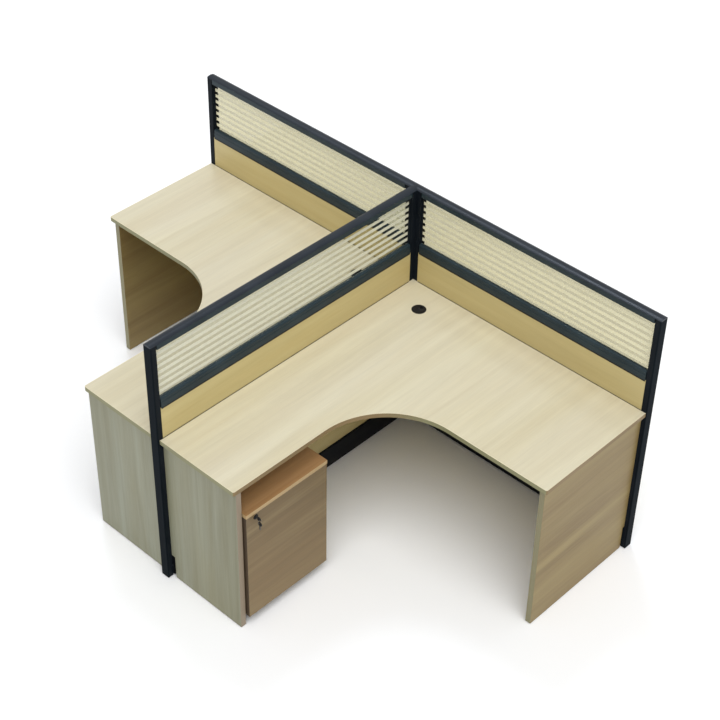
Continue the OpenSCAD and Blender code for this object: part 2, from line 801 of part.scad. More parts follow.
module castor_hood(n) {
  color(black) translate([castor_at[n][0], castor_at[n][1], 0]) difference() {
    union() {
      difference() {
        wheel_axis() cylinder(r = hood_r, h = hood_w, center = true);
        for (m = [-1, 1]) wheel_axis() translate([0, 0, m * (web_t + hood_w) / 2])
          cylinder(r = wheel_r + wheel_gap, h = hood_w, center = true);
        translate([-castor_trail - hood_r - cut, -hood_w, -hood_r])
          cube([2 * hood_r + 2 * cut, 2 * hood_w, wheel_r - hood_drop + hood_r]);
      }
      translate([0, 0, boss_z0]) cylinder(r = boss_r, h = boss_z1 - boss_z0);
    }
    translate([0, 0, socket_z0]) cylinder(r = swivel_r + fit, h = castor_h);
    wheel_axis() cylinder(r = axle_r + fit, h = hood_w + 2 * cut, center = true);
    for (m = [-1, 1]) wheel_axis() translate([0, 0, m * (web_t + hood_w) / 2])
      cylinder(r = wheel_r + wheel_gap, h = hood_w, center = true);
  }
}

module castor_wheel(n) {
  in = web_t / 2 + side_gap;
  out = in + wheel_w;
  r = wheel_r;
  color([0.12, 0.12, 0.13]) translate([castor_at[n][0], castor_at[n][1], 0]) wheel_axis()
    rotate_extrude() polygon([
      [0, -out + 1], [axle_r + 2, -out + 1], [axle_r + 2, -out], [r - 4, -out], [r - 1.5, -out + 1],
      [r, -out + 2.5], [r, -in - 2], [r - 1, -in], [axle_r, -in],
      [axle_r, in], [r - 1, in], [r, in + 2], [r, out - 2.5],
      [r - 1.5, out - 1], [r - 4, out], [axle_r + 2, out], [axle_r + 2, out - 1], [0, out - 1]]);
}

tee_post();
screen_stiles(0);  // right_stiles
screen_stiles(1);  // left_stiles
screen_stiles(2);  // centre_stiles
screen_rails(0);  // right_rails
screen_rails(1);  // left_rails
screen_rails(2);  // centre_rails
top_cap(0);  // right_top_cap
top_cap(1);  // left_top_cap
top_cap(2);  // centre_top_cap
end_trim(0);  // right_end_trim
end_trim(1);  // left_end_trim
end_trim(2);  // centre_end_trim
glass(0);  // right_glass
glass(1);  // left_glass
glass(2);  // centre_glass
frosted_bands();
boards(0);  // right_boards
boards(1);  // left_boards
boards(2);  // centre_boards
skirting(0);  // right_skirting
skirting(1);  // left_skirting
skirting(2);  // centre_skirting
leveller();  // tee_leveller
screen_leveller(0);  // right_leveller
screen_leveller(1);  // left_leveller
screen_leveller(2);  // centre_leveller
desktop(0);  // right_desktop
desktop(1);  // left_desktop
desktop_edging();
side_panel(0);  // right_side_panel
near_panel(0);  // right_near_panel
side_panel(1);  // left_side_panel
near_panel(1);  // left_near_panel
floor_glides();
desk_brackets();
outlet_rings();
outlet_cap(1);  // right_outlet_cap
outlet_cap(-1);  // left_outlet_cap
cabinet_top();
cabinet_sides();
cabinet_bottom();
cabinet_back();
cabinet_shelf();
cabinet_fittings();
cabinet_door();
hinge_bushes();
lock_housing();
lock_barrel();
door_key();
key_ring();
castor_plates();
castor_hood(0);  // castor_hood_1
castor_hood(1);  // castor_hood_2
castor_hood(2);  // castor_hood_3
castor_hood(3);  // castor_hood_4
castor_wheel(0);  // castor_wheel_1
castor_wheel(1);  // castor_wheel_2
castor_wheel(2);  // castor_wheel_3
castor_wheel(3);  // castor_wheel_4
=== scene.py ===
"""Looks for the two-person workstation: materials, small hardware, studio and camera."""

import json
import math

import bmesh
import bpy
from mathutils import Matrix, Vector


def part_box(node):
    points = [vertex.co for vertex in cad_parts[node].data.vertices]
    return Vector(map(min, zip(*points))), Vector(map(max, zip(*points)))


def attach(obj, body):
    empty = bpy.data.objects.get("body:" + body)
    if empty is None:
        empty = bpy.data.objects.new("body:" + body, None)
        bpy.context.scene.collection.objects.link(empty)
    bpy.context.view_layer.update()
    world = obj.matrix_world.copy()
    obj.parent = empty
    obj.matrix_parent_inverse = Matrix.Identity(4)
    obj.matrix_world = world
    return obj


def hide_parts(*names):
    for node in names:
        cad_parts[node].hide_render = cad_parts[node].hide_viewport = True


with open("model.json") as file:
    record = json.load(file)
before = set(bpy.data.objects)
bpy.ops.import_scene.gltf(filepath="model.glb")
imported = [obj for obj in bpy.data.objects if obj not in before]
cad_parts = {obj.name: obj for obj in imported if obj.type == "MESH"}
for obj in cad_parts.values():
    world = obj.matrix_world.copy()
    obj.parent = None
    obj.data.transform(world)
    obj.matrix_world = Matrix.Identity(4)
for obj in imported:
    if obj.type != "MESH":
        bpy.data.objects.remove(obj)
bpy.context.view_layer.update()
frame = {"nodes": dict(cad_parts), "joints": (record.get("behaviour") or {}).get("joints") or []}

NODES = frame["nodes"]
SCREENS = ("right", "left", "centre")
MM = 0.001

# Camera, as the photograph was taken; its angles are in radians
CAMERA_AT = (3.76907, -4.36506, 5.07812)
CAMERA_AZIMUTH = 0.749322
CAMERA_ELEVATION = 0.695292
CAMERA_ROLL = 0.019910
CAMERA_LENS = 86.02
CAMERA_SENSOR = 36.0
CAMERA_REACH = 100


def make_camera():
    a, e, r = CAMERA_AZIMUTH, CAMERA_ELEVATION, CAMERA_ROLL
    right = Vector((math.cos(a), math.sin(a), 0))
    back = Vector((math.sin(a) * math.cos(e), -math.cos(a) * math.cos(e), math.sin(e)))
    up = back.cross(right)
    rolled_right = right * math.cos(r) + up * math.sin(r)
    rolled_up = up * math.cos(r) - right * math.sin(r)
    data = bpy.data.cameras.new("camera")
    data.lens = CAMERA_LENS
    data.sensor_width = CAMERA_SENSOR
    data.clip_end = CAMERA_REACH
    camera = bpy.data.objects.new("camera", data)
    turn = Matrix((rolled_right, rolled_up, back)).transposed().to_4x4()
    camera.matrix_world = Matrix.Translation(CAMERA_AT) @ turn
    bpy.context.scene.collection.objects.link(camera)
    bpy.context.scene.camera = camera


# Studio: a pale floor, an even sky and softboxes far away
FLOOR_HALF = 80.0
FLOOR_COLOUR = (0.965, 0.97, 0.975)
FLOOR_ROUGHNESS = 0.9
FLOOR_SHINE = 0.1
WORLD_COLOUR = (1, 1, 1)
WORLD_STRENGTH = 0.50
# Softboxes: name, strength, colour, direction it shines from, degrees across.
# The second one stands behind the screens and draws a streak along their caps.
SOFTBOXES = (("key", 2.05, (1.0, 1.0, 1.0), (0.42, -0.32, 1.0), 50),
             ("streak", 0.38, (0.86, 0.96, 1.12), (-0.40, 0.29, 0.87), 12))


def make_softbox(name, strength, colour, shines_from, across):
    data = bpy.data.lights.new(name, "SUN")
    data.energy = strength
    data.color = colour
    data.angle = math.radians(across)
    light = bpy.data.objects.new(name, data)
    light.rotation_mode = "QUATERNION"
    light.rotation_quaternion = Vector(shines_from).to_track_quat("Z", "Y")
    bpy.context.scene.collection.objects.link(light)


def make_studio():
    scene = bpy.context.scene
    scene.view_settings.view_transform = "Standard"
    world = bpy.data.worlds.new("studio")
    world.use_nodes = True
    sky = world.node_tree.nodes["Background"]
    sky.inputs["Strength"].default_value = WORLD_STRENGTH
    set_colour(sky.inputs["Color"], WORLD_COLOUR)
    scene.world = world
    for softbox in SOFTBOXES:
        make_softbox(*softbox)
    mesh = bpy.data.meshes.new("floor")
    h = FLOOR_HALF
    mesh.from_pydata([(-h, -h, 0), (h, -h, 0), (h, h, 0), (-h, h, 0)], [], [(0, 1, 2, 3)])
    floor = bpy.data.objects.new("floor", mesh)
    scene.collection.objects.link(floor)
    material, _, shader = new_material("floor")
    set_colour(shader.inputs["Base Color"], FLOOR_COLOUR)
    shader.inputs["Roughness"].default_value = FLOOR_ROUGHNESS
    shader.inputs["Specular IOR Level"].default_value = FLOOR_SHINE
    mesh.materials.append(material)


# Shader helpers. The mix node has sockets for every kind of data; these are its colours'.
MIX_FACTOR, MIX_A, MIX_B, MIX_RESULT = 0, 6, 7, 2
NOISE_ROUGHNESS = 0.55
HALFWAY = 0.5


def new_material(name):
    material = bpy.data.materials.new(name)
    material.use_nodes = True
    tree = material.node_tree
    return material, tree, tree.nodes["Principled BSDF"]


def set_colour(socket, colour):
    socket.default_value = (*colour, 1)


def add_node(tree, kind, inputs=None, **settings):
    node = tree.nodes.new(kind)
    for key, value in settings.items():
        setattr(node, key, value)
    for key, value in (inputs or {}).items():
        if isinstance(value, bpy.types.NodeSocket):
            tree.links.new(value, node.inputs[key])
        else:
            node.inputs[key].default_value = value
    return node


def noise(tree, coords, scale, detail, roughness=NOISE_ROUGHNESS, distortion=0.0):
    """Noise at a scale, or stretched by a scale per axis, as its value socket."""
    scales = scale if isinstance(scale, tuple) else (scale, scale, scale)
    mapping = add_node(tree, "ShaderNodeMapping", {"Vector": coords, "Scale": scales})
    made = add_node(tree, "ShaderNodeTexNoise", {
        "Vector": mapping.outputs["Vector"], "Scale": 1.0, "Detail": detail,
        "Roughness": roughness, "Distortion": distortion})
    return made.outputs["Fac"]


def remap(tree, value, low, high, to_low=0.0, to_high=1.0):
    made = add_node(tree, "ShaderNodeMapRange", {
        "Value": value, "From Min": low, "From Max": high, "To Min": to_low, "To Max": to_high})
    return made.outputs["Result"]


def math_node(tree, operation, a, b=0.0):
    made = add_node(tree, "ShaderNodeMath", {0: a, 1: b}, operation=operation)
    return made.outputs["Value"]


def mix_colour(tree, factor, a, b, blend="MIX"):
    made = add_node(tree, "ShaderNodeMix", data_type="RGBA", blend_type=blend)
    for index, value in ((MIX_FACTOR, factor), (MIX_A, a), (MIX_B, b)):
        if isinstance(value, bpy.types.NodeSocket):
            tree.links.new(value, made.inputs[index])
        elif index == MIX_FACTOR:
            made.inputs[index].default_value = value
        else:
            set_colour(made.inputs[index], value)
    return made.outputs[MIX_RESULT]


def shaded(tree, colour, shade):
    """A colour times a grey shade."""
    grey = add_node(tree, "ShaderNodeCombineColor", {"Red": shade, "Green": shade, "Blue": shade})
    return mix_colour(tree, 1.0, colour, grey.outputs["Color"], "MULTIPLY")


def facing(tree, coordinate, axis):
    """How squarely a face looks along an axis, either way: 1 is straight along it."""
    axes = add_node(tree, "ShaderNodeSeparateXYZ", {"Vector": coordinate.outputs["Normal"]})
    return math_node(tree, "ABSOLUTE", axes.outputs[axis])


def bump(tree, shader, height, distance):
    made = add_node(tree, "ShaderNodeBump", {
        "Height": height, "Distance": distance, "Strength": 1.0})
    tree.links.new(made.outputs["Normal"], shader.inputs["Normal"])


# Wood laminates: broad streaks, a finer figure, warm and grey patches and fine pores. Each noise
# has its scales along and across the grain, detail, roughness and distortion. Two numbers say
# between which values a noise counts; here and below, four also say what it becomes there.
STREAKS = (0.55, 13.0, 6.0, 0.62, 0.5)
STREAKS_SET_IN = (0.36, 0.66)
FIGURE = (1.4, 42.0, 3.0, 0.5, 0.3)
FIGURE_SETS_IN = (0.3, 0.7)
FIGURE_LIGHTENS = 0.03
FIGURE_DARKENS = 0.06
PATCHES = (0.9, 3.2, 2.0, 0.5)
PATCHES_SET_IN = (0.42, 0.68)
PATCHES_SHARE = 0.55
PORES = (9.0, 520.0, 2.0, 0.6)
PORES_SHADE = (0.3, 0.72, 1.02, 0.95)
PORES_ROUGHNESS = (0.2, 0.8, 0.37, 0.49)
PORES_DEPTH = 0.06 * MM
LAMINATE_SHINE = 0.4


def grain_noise(tree, place, grain, along, across, *settings):
    scales = tuple(along if axis == grain else across for axis in "XYZ")
    return noise(tree, place, scales, *settings)


def laminate(name, light, dark, tint, grain, face=None, edge=None, contrast=1.0):
    """A grained board; faces that don't look along one axis take a plain edge colour, on most
    boards a painted shade for how those faces turn from the light.
    """
    material, tree, shader = new_material(name)
    coordinate = add_node(tree, "ShaderNodeTexCoord")
    streaks, figure, patches, pores = (
        grain_noise(tree, coordinate.outputs["Object"], grain, *settings)
        for settings in (STREAKS, FIGURE, PATCHES, PORES))
    streaked = remap(tree, streaks, *STREAKS_SET_IN, 0.0, contrast)
    patched = remap(tree, patches, *PATCHES_SET_IN, 0.0, PATCHES_SHARE * contrast)
    colour = mix_colour(tree, patched, mix_colour(tree, streaked, light, dark), tint)
    figured = remap(tree, figure, *FIGURE_SETS_IN,
                    1.0 + FIGURE_LIGHTENS * contrast, 1.0 - FIGURE_DARKENS * contrast)
    pored = remap(tree, pores, *PORES_SHADE)
    colour = shaded(tree, colour, math_node(tree, "MULTIPLY", figured, pored))
    if face:
        on_edge = math_node(tree, "LESS_THAN", facing(tree, coordinate, face), HALFWAY)
        colour = mix_colour(tree, on_edge, colour, edge)
    tree.links.new(colour, shader.inputs["Base Color"])
    tree.links.new(remap(tree, pores, *PORES_ROUGHNESS), shader.inputs["Roughness"])
    shader.inputs["Specular IOR Level"].default_value = LAMINATE_SHINE
    bump(tree, shader, pores, PORES_DEPTH)
    return material


EDGING_TURNS = (0.3, 0.8)
EDGING_STREAKS = ((4, 4, 60), 3.0)
EDGING_SHADE = (0.3, 0.7, 1.05, 0.9)
EDGING_ROUGHNESS = (0.3, 0.7, 0.4, 0.5)
EDGING_SHINE = 0.3


def shaded_edging_strip(name, top, x_facing_shade, y_facing_shade):
    """A thin strip with light and shade painted on by the way each face looks, as on the end
    panels.
    """
    material, tree, shader = new_material(name)
    coordinate = add_node(tree, "ShaderNodeTexCoord")
    turned = remap(tree, facing(tree, coordinate, "X"), *EDGING_TURNS)
    on_top = math_node(tree, "GREATER_THAN", facing(tree, coordinate, "Z"), HALFWAY)
    colour = mix_colour(tree, on_top, mix_colour(tree, turned, y_facing_shade, x_facing_shade), top)
    streaks = noise(tree, coordinate.outputs["Object"], *EDGING_STREAKS)
    colour = shaded(tree, colour, remap(tree, streaks, *EDGING_SHADE))
    tree.links.new(colour, shader.inputs["Base Color"])
    tree.links.new(remap(tree, streaks, *EDGING_ROUGHNESS), shader.inputs["Roughness"])
    shader.inputs["Specular IOR Level"].default_value = EDGING_SHINE
    return material


# Paint, plastic and metal. Each kind has the scale and detail of its mottle and of its fine
# grain, how much lighter the mottle is (times, plus), where it sets in, how far the roughness
# varies with it, and the depth of the grain.
POWDER_COAT = dict(mottle=(6, 3.0), grain=(900, 2.0), lighter=(1.35, 0.002),
                   sets_in=(0.35, 0.7), varies=(-0.04, 0.06), depth=0.03 * MM)
MOULDED = dict(mottle=(40, 3.0), grain=(1500, 3.0), lighter=(1.5, 0.004),
               sets_in=(0.4, 0.75), varies=(-0.05, 0.08), depth=0.05 * MM)
BRUSHED = dict(mottle=((30, 30, 900), 3.0), grain=((30, 30, 900), 3.0), lighter=(1.12, 0.0),
               sets_in=(0.3, 0.7), varies=(-0.05, 0.1), depth=0.02 * MM)
CAST = dict(BRUSHED, mottle=(300, 3.0), grain=(300, 3.0))
ROUGHNESS_SETS_IN = (0.3, 0.7)
PLASTIC_SHINE = 0.3


def coated(name, colour, roughness, mottle, grain, lighter, sets_in, varies, depth):
    """A mottled and fine-grained material, with its shader."""
    material, tree, shader = new_material(name)
    place = add_node(tree, "ShaderNodeTexCoord").outputs["Object"]
    mottled = noise(tree, place, *mottle)
    times, plus = lighter
    light_colour = tuple(min(1.0, c * times + plus) for c in colour)
    mixed = mix_colour(tree, remap(tree, mottled, *sets_in), colour, light_colour)
    tree.links.new(mixed, shader.inputs["Base Color"])
    rough = remap(tree, mottled, *ROUGHNESS_SETS_IN, *(roughness + each for each in varies))
    tree.links.new(rough, shader.inputs["Roughness"])
    bump(tree, shader, noise(tree, place, *grain), depth)
    return material, shader


def painted(name, colour, roughness, shine, kind=POWDER_COAT):
    material, shader = coated(name, colour, roughness, **kind)
    shader.inputs["Specular IOR Level"].default_value = shine
    return material


def plastic(name, colour, roughness):
    return painted(name, colour, roughness, PLASTIC_SHINE, MOULDED)


def metal(name, colour, roughness, kind):
    material, shader = coated(name, colour, roughness, **kind)
    shader.inputs["Metallic"].default_value = 1.0
    return material


# Glass: clear panes, and the milky film of the frosted bands. The shades are what is left of
# the light of lamps and sky behind each.
SPINE_TINT = (0.505, 0.472, 0.33)
CENTRE_TINT = (0.76, 0.79, 0.78)
GLASS_IOR = 1.45
GLASS_SHADE = (0.93, 0.92, 0.88)
SMEAR = (5, 3.0)
SMEAR_ROUGHNESS = (0.35, 0.75, 0.0, 0.05)
# The film's colour on the spine panes, and on the centre pane a darker copy with painted shade
FROST_SPINE = (0.94, 0.905, 0.69)
FROST_CENTRE_SHADED = (0.81, 0.80, 0.665)
FROST_SHADE = (0.80, 0.78, 0.72)
FROST_ROUGHNESS = 0.55
FROST_GLOW = 0.2
SPARKLE = (700, 3.0)
SPARKLE_SHADE = (0.3, 0.7, 0.98, 1.02)


def mixed_shaders(tree, factor, one, two):
    mixed = add_node(tree, "ShaderNodeMixShader", {0: factor, 1: one, 2: two})
    return mixed.outputs["Shader"]


def let_lamps_through(tree, surface, shade):
    """Lamps and sky shine through the surface, dimmed, as they do through real glass."""
    path = add_node(tree, "ShaderNodeLightPath")
    through = add_node(tree, "ShaderNodeBsdfTransparent", {"Color": (*shade, 1)})
    mixed = mixed_shaders(tree, path.outputs["Is Shadow Ray"], surface, through.outputs["BSDF"])
    tree.links.new(mixed, tree.nodes["Material Output"].inputs["Surface"])


def clear_glass(name, tint):
    material, tree, shader = new_material(name)
    place = add_node(tree, "ShaderNodeTexCoord").outputs["Object"]
    smear = noise(tree, place, *SMEAR)
    tree.links.new(remap(tree, smear, *SMEAR_ROUGHNESS), shader.inputs["Roughness"])
    set_colour(shader.inputs["Base Color"], tint)
    shader.inputs["Transmission Weight"].default_value = 1.0
    shader.inputs["IOR"].default_value = GLASS_IOR
    let_lamps_through(tree, shader.outputs["BSDF"], GLASS_SHADE)
    return material


def frosted_glass():
    """A milky film that glows a little with the light behind it; on the centre pane it is a
    darker, cooler copy that paints shade.
    """
    material, tree, shader = new_material("frosted_glass")
    coordinate = add_node(tree, "ShaderNodeTexCoord")
    sparkle = noise(tree, coordinate.outputs["Object"], *SPARKLE)
    on_centre = math_node(tree, "GREATER_THAN", facing(tree, coordinate, "X"), HALFWAY)
    colour = shaded(tree, mix_colour(tree, on_centre, FROST_SPINE, FROST_CENTRE_SHADED),
                    remap(tree, sparkle, *SPARKLE_SHADE))
    tree.links.new(colour, shader.inputs["Base Color"])
    shader.inputs["Roughness"].default_value = FROST_ROUGHNESS
    glow = add_node(tree, "ShaderNodeBsdfTranslucent", {"Color": colour})
    surface = mixed_shaders(tree, FROST_GLOW, shader.outputs["BSDF"], glow.outputs["BSDF"])
    let_lamps_through(tree, surface, FROST_SHADE)
    return material


# Woods and their edges, whose colours are mostly painted light and shade
DESK_WOOD = dict(light=(0.690, 0.638, 0.463), dark=(0.605, 0.530, 0.350),
                 tint=(0.650, 0.593, 0.466), contrast=0.75)
BOARD_WOOD = dict(light=(0.62, 0.52, 0.250), dark=(0.54, 0.42, 0.175),
                  tint=(0.53, 0.44, 0.22), contrast=0.7)
# The end panels' laminate with painted shade: darkened, olive on the near panels that face along Y
# and brown on the side panels that face along X
NEAR_PANEL_SHADED_WOOD = dict(light=(0.292, 0.300, 0.222), dark=(0.205, 0.196, 0.118),
                       tint=(0.245, 0.222, 0.115))
SIDE_PANEL_SHADED_WOOD = dict(light=(0.295, 0.219, 0.086), dark=(0.216, 0.147, 0.054),
                       tint=(0.244, 0.166, 0.061))
CABINET_WOOD = dict(light=(0.275, 0.205, 0.094), dark=(0.172, 0.114, 0.047),
                    tint=(0.215, 0.138, 0.056))
CABINET_TOP_WOOD = dict(light=(0.39, 0.225, 0.100), dark=(0.285, 0.152, 0.060),
                        tint=(0.33, 0.180, 0.078))
# Edge colours, all but the cabinet top's painted shade: darker or tinted by the way the edges
# face, and the cabinet's nearly black for the shade in the narrow gap beside its door
DESK_EDGE_SHADE = (0.25, 0.21, 0.11)
PANEL_EDGE_SHADE = (0.277, 0.217, 0.150)
SIDE_EDGE_SHADE = (0.231, 0.208, 0.111)
CABINET_EDGE_SHADE = (0.075, 0.050, 0.030)
CABINET_TOP_EDGE = (0.46, 0.32, 0.155)
# The edging's painted light: a lit top, a brown shade on faces along X and an olive shade on faces
# along Y.
EDGING_LIGHT_AND_SHADE = dict(top=(0.76, 0.68, 0.47), x_facing_shade=(0.235, 0.160, 0.070),
                      y_facing_shade=(0.250, 0.240, 0.125))
FRONT_CONTRAST = 1.2
# Paints: colour, roughness, shine
# The frame is one powder coat; the post, trim, rail and cap paints are copies of it with light and
# shade painted into their colours, the rails lightest and the trims darkest.
POST_PAINT = ((0.007, 0.010, 0.014), 0.48, 0.05)
TRIM_PAINT = ((0.005, 0.008, 0.011), 0.5, 0.02)
RAIL_PAINT = ((0.017, 0.030, 0.038), 0.36, 0.22)
CAP_PAINT = ((0.009, 0.014, 0.021), 0.33, 0.42)
SKIRTING_PAINT = ((0.004, 0.005, 0.007), 0.45, 0.1)
LOCK_PAINT = ((0.005, 0.005, 0.005), 0.38, 0.12)
# Plastics and metals: colour, roughness
BLACK = ((0.010, 0.010, 0.011), 0.42)
TREAD = ((0.022, 0.022, 0.024), 0.5)
RUBBER = ((0.012, 0.012, 0.013), 0.6)
ZINC = ((0.56, 0.57, 0.58), 0.34)
KEY_STEEL = ((0.22, 0.22, 0.21), 0.34)
CASTORS = (1, 2, 3, 4)


def of_screens(*parts):
    return tuple(f"{screen}_{part}" for screen in SCREENS for part in parts)


def make_materials():
    """Dresses every node; returns the materials that the small parts take."""
    made = {}

    def give(material, *names):
        for name in names:
            made[name] = material
        return material

    give(laminate("desk_laminate", grain="Y", face="Z", edge=DESK_EDGE_SHADE, **DESK_WOOD),
         "right_desktop", "left_desktop")
    give(shaded_edging_strip("edging", **EDGING_LIGHT_AND_SHADE), "desktop_edging")
    give(laminate("spine_board", grain="X", **BOARD_WOOD), "right_boards", "left_boards")
    give(laminate("centre_board", grain="Y", **BOARD_WOOD), "centre_boards")
    give(laminate("near_panel", grain="Z", face="Y", edge=PANEL_EDGE_SHADE, **NEAR_PANEL_SHADED_WOOD),
         "right_near_panel", "left_near_panel")
    give(laminate("side_panel", grain="Y", face="X", edge=SIDE_EDGE_SHADE, **SIDE_PANEL_SHADED_WOOD),
         "right_side_panel", "left_side_panel")
    give(laminate("cabinet_front", grain="Y", face="X", edge=CABINET_EDGE_SHADE,
                  contrast=FRONT_CONTRAST, **CABINET_WOOD), "cabinet_door")
    give(laminate("cabinet_sides", grain="Z", face="Y", edge=CABINET_EDGE_SHADE, **CABINET_WOOD),
         "cabinet_sides")
    give(laminate("cabinet_back", grain="Z", face="X", edge=PANEL_EDGE_SHADE, **CABINET_WOOD),
         "cabinet_back")
    give(laminate("cabinet_top", grain="Y", face="Z", edge=CABINET_TOP_EDGE, **CABINET_TOP_WOOD),
         "cabinet_top")
    give(laminate("cabinet_inside", grain="Y", face="Z", edge=PANEL_EDGE_SHADE, **CABINET_WOOD),
         "cabinet_bottom", "cabinet_shelf")

    give(painted("post_paint", *POST_PAINT), "tee_post", *of_screens("stiles"))
    give(painted("trim_paint", *TRIM_PAINT), *of_screens("end_trim"))
    rail = give(painted("rail_paint", *RAIL_PAINT), *of_screens("rails"))
    give(painted("cap_paint", *CAP_PAINT), *of_screens("top_cap"))
    give(painted("skirting_paint", *SKIRTING_PAINT), *of_screens("skirting"))
    give(clear_glass("spine_glass", SPINE_TINT), "right_glass", "left_glass")
    give(clear_glass("centre_glass", CENTRE_TINT), "centre_glass")
    give(frosted_glass(), "frosted_bands")
    black = give(
        plastic("black_plastic", *BLACK), "floor_glides", "outlet_rings", "right_outlet_cap",
        "left_outlet_cap", "hinge_bushes", "door_key", *(f"castor_hood_{k}" for k in CASTORS))
    zinc = give(
        metal("zinc_steel", *ZINC, BRUSHED), "tee_leveller", *of_screens("leveller"),
        "desk_brackets", "cabinet_fittings", "castor_plates")
    give(painted("lock_black", *LOCK_PAINT), "lock_housing", "lock_barrel", "key_ring")
    give(plastic("castor_tread", *TREAD), *(f"castor_wheel_{k}" for k in CASTORS))
    for name, node in NODES.items():
        if not node.data.materials:
            node.data.materials.append(made[name])
        for slot in node.material_slots:
            slot.material = made[name]
    return {"gasket": plastic("gasket", *RUBBER), "rail": rail, "zinc": zinc, "black": black,
            "steel": metal("key_steel", *KEY_STEEL, CAST)}


# Eased edges: the copy of a node that the modifiers make is merged, then gets a small round
EDGE_ROUND = {
    0.8 * MM: ("cabinet_top", "cabinet_door"),
    0.6 * MM: ("right_side_panel", "left_side_panel", "right_near_panel", "left_near_panel",
               "cabinet_sides", "cabinet_bottom", "cabinet_back", "cabinet_shelf"),
    0.5 * MM: ("tee_post",
               *of_screens("boards", "rails", "stiles", "end_trim", "top_cap", "skirting")),
}
MERGE_WITHIN = 0.01 * MM
EDGE_ANGLE = 40
EDGE_SEGMENTS = 2


def weld(node):
    merged = node.modifiers.new("weld", "WELD")
    merged.merge_threshold = MERGE_WITHIN


def ease_edges(node, width):
    weld(node)
    ease = node.modifiers.new("ease", "BEVEL")
    ease.limit_method = "ANGLE"
    ease.angle_limit = math.radians(EDGE_ANGLE)
    ease.width = width
    ease.segments = EDGE_SEGMENTS
    ease.harden_normals = False
    normals = node.modifiers.new("normals", "WEIGHTED_NORMAL")
    normals.keep_sharp = False


# The frosted film's skin is drawn in a hair, so that light meets the pane and then the film
FILM_GAP = 0.05 * MM


def part_film(node):
    weld(node)
    shrink = node.modifiers.new("film_gap", "DISPLACE")
    shrink.mid_level = 0.0
    shrink.strength = -FILM_GAP


# Small parts: up to these angles in degrees, their faces shade as one
SMOOTH_METAL = 35
SMOOTH_LIP = 20
SMOOTH_BEAD = 50


def new_piece(name, mesh, material, body):
    piece = bpy.data.objects.new(name, mesh)
    bpy.context.scene.collection.objects.link(piece)
    mesh.materials.append(material)
    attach(piece, body)
    return piece


def smooth(mesh, angle):
    for face in mesh.polygons:
        face.use_smooth = True
    mesh.set_sharp_from_angle(angle=math.radians(angle))


def mesh_from(bm, name, angle):
    mesh = bpy.data.meshes.new(name)
    bm.to_mesh(mesh)
    bm.free()
    smooth(mesh, angle)
    return mesh


def add_band(bm, one, two):
    """The faces between two closed rings of as many corners."""
    for k in range(len(one)):
        n = (k + 1) % len(one)
        bm.faces.new((one[k], one[n], two[n], two[k]))


def add_strip(bm, ends, place, outline):
    """A closed strip between two ends; place gives the point at (along, across, z)."""
    rings = [[bm.verts.new(place(along, *point)) for point in outline] for along in ends]
    for ring in rings:
        bm.faces.new(ring)
    add_band(bm, *rings)


def add_trim(name, bm, angle, material):
    bmesh.ops.recalc_face_normals(bm, faces=bm.faces)
    new_piece(name, mesh_from(bm, name, angle), material, "workstation")


def screen_axes(screen):
    """The axis that a screen runs along, the one through it, and what places a point on it."""
    if screen == "centre":
        return 1, 0, lambda along, through, z: (through, along, z)
    return 0, 1, lambda along, through, z: (along, through, z)


# Glazing gaskets: a black lip on each side of each pane, all round its opening. The outline is
# in shares of the width, towards the middle of the pane, and of the depth, away from it.
GROOVE = 7.0 * MM
GLASS_PLAY = 0.5 * MM
LIP_WIDE = 1.6 * MM
LIP_OFF = 0.5 * MM
LIP_DEEP = 1.3 * MM
LIP = ((0, 0), (0, 1), (0.7, 1), (1, 0.6), (1, 0))


def add_gasket(screen, material):
    low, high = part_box(f"{screen}_glass")
    run, depth, place = screen_axes(screen)
    inset = GROOVE - GLASS_PLAY
    a0, a1 = low[run] + inset, high[run] - inset
    z0, z1 = low.z + GROOVE, high.z - inset
    bm = bmesh.new()
    for face, out in ((low[depth], -1), (high[depth], 1)):
        rings = []
        for wide, deep in LIP:
            i = LIP_WIDE * wide
            d = face + out * (LIP_OFF + LIP_DEEP * deep)
            corners = ((a0 + i, z0 + i), (a1 - i, z0 + i), (a1 - i, z1 - i), (a0 + i, z1 - i))
            rings.append([bm.verts.new(place(a, d, z)) for a, z in corners])
        for one, two in zip(rings, rings[1:] + rings[:1]):
            add_band(bm, one, two)
    add_trim(f"{screen}_gasket", bm, SMOOTH_LIP, material)


# Seals and painted shadow: a black bead between each board and the rail above it, which also
# paints the shadow line under the rail. The outline is in shares of the depth, away from the
# board, and of the height, down from its top.
SEAL_HIGH = 6.0 * MM
SEAL_DEEP = 0.9 * MM
SEAL_OFF = 0.05 * MM
SEAL_END_IN = 4.0 * MM
SEAL = ((0, 0), (1, 0), (1, 0.75), (0.6, 0.95), (0, 1))


def add_seal_painting_shadow(screen, material):
    low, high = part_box(f"{screen}_boards")
    run, depth, place = screen_axes(screen)
    ends = (low[run] + SEAL_END_IN, high[run] - SEAL_END_IN)
    bm = bmesh.new()
    for face, out in ((low[depth], -1), (high[depth], 1)):
        add_strip(bm, ends, place, [
            (face + out * (SEAL_OFF + off * SEAL_DEEP), high.z - down * SEAL_HIGH)
            for off, down in SEAL])
    add_trim(f"{screen}_seal", bm, SMOOTH_LIP, material)


# Glazing beads: a painted strip on each middle rail, along the foot of the pane's filmed face.
# The outline is in mm, away from the pane's face and up from the rail.
GLAZING_BEAD = ((2.2, 0.05), (16.3, 0.05), (16.3, 11.5), (15.8, 14.2), (14.4, 16.2),
                (12.2, 17.3), (9.5, 17.6), (1.3, 17.6), (0.9, 17.2), (0.9, 15.6), (2.2, 14.6))
GLAZING_END_IN = 0.3 * MM


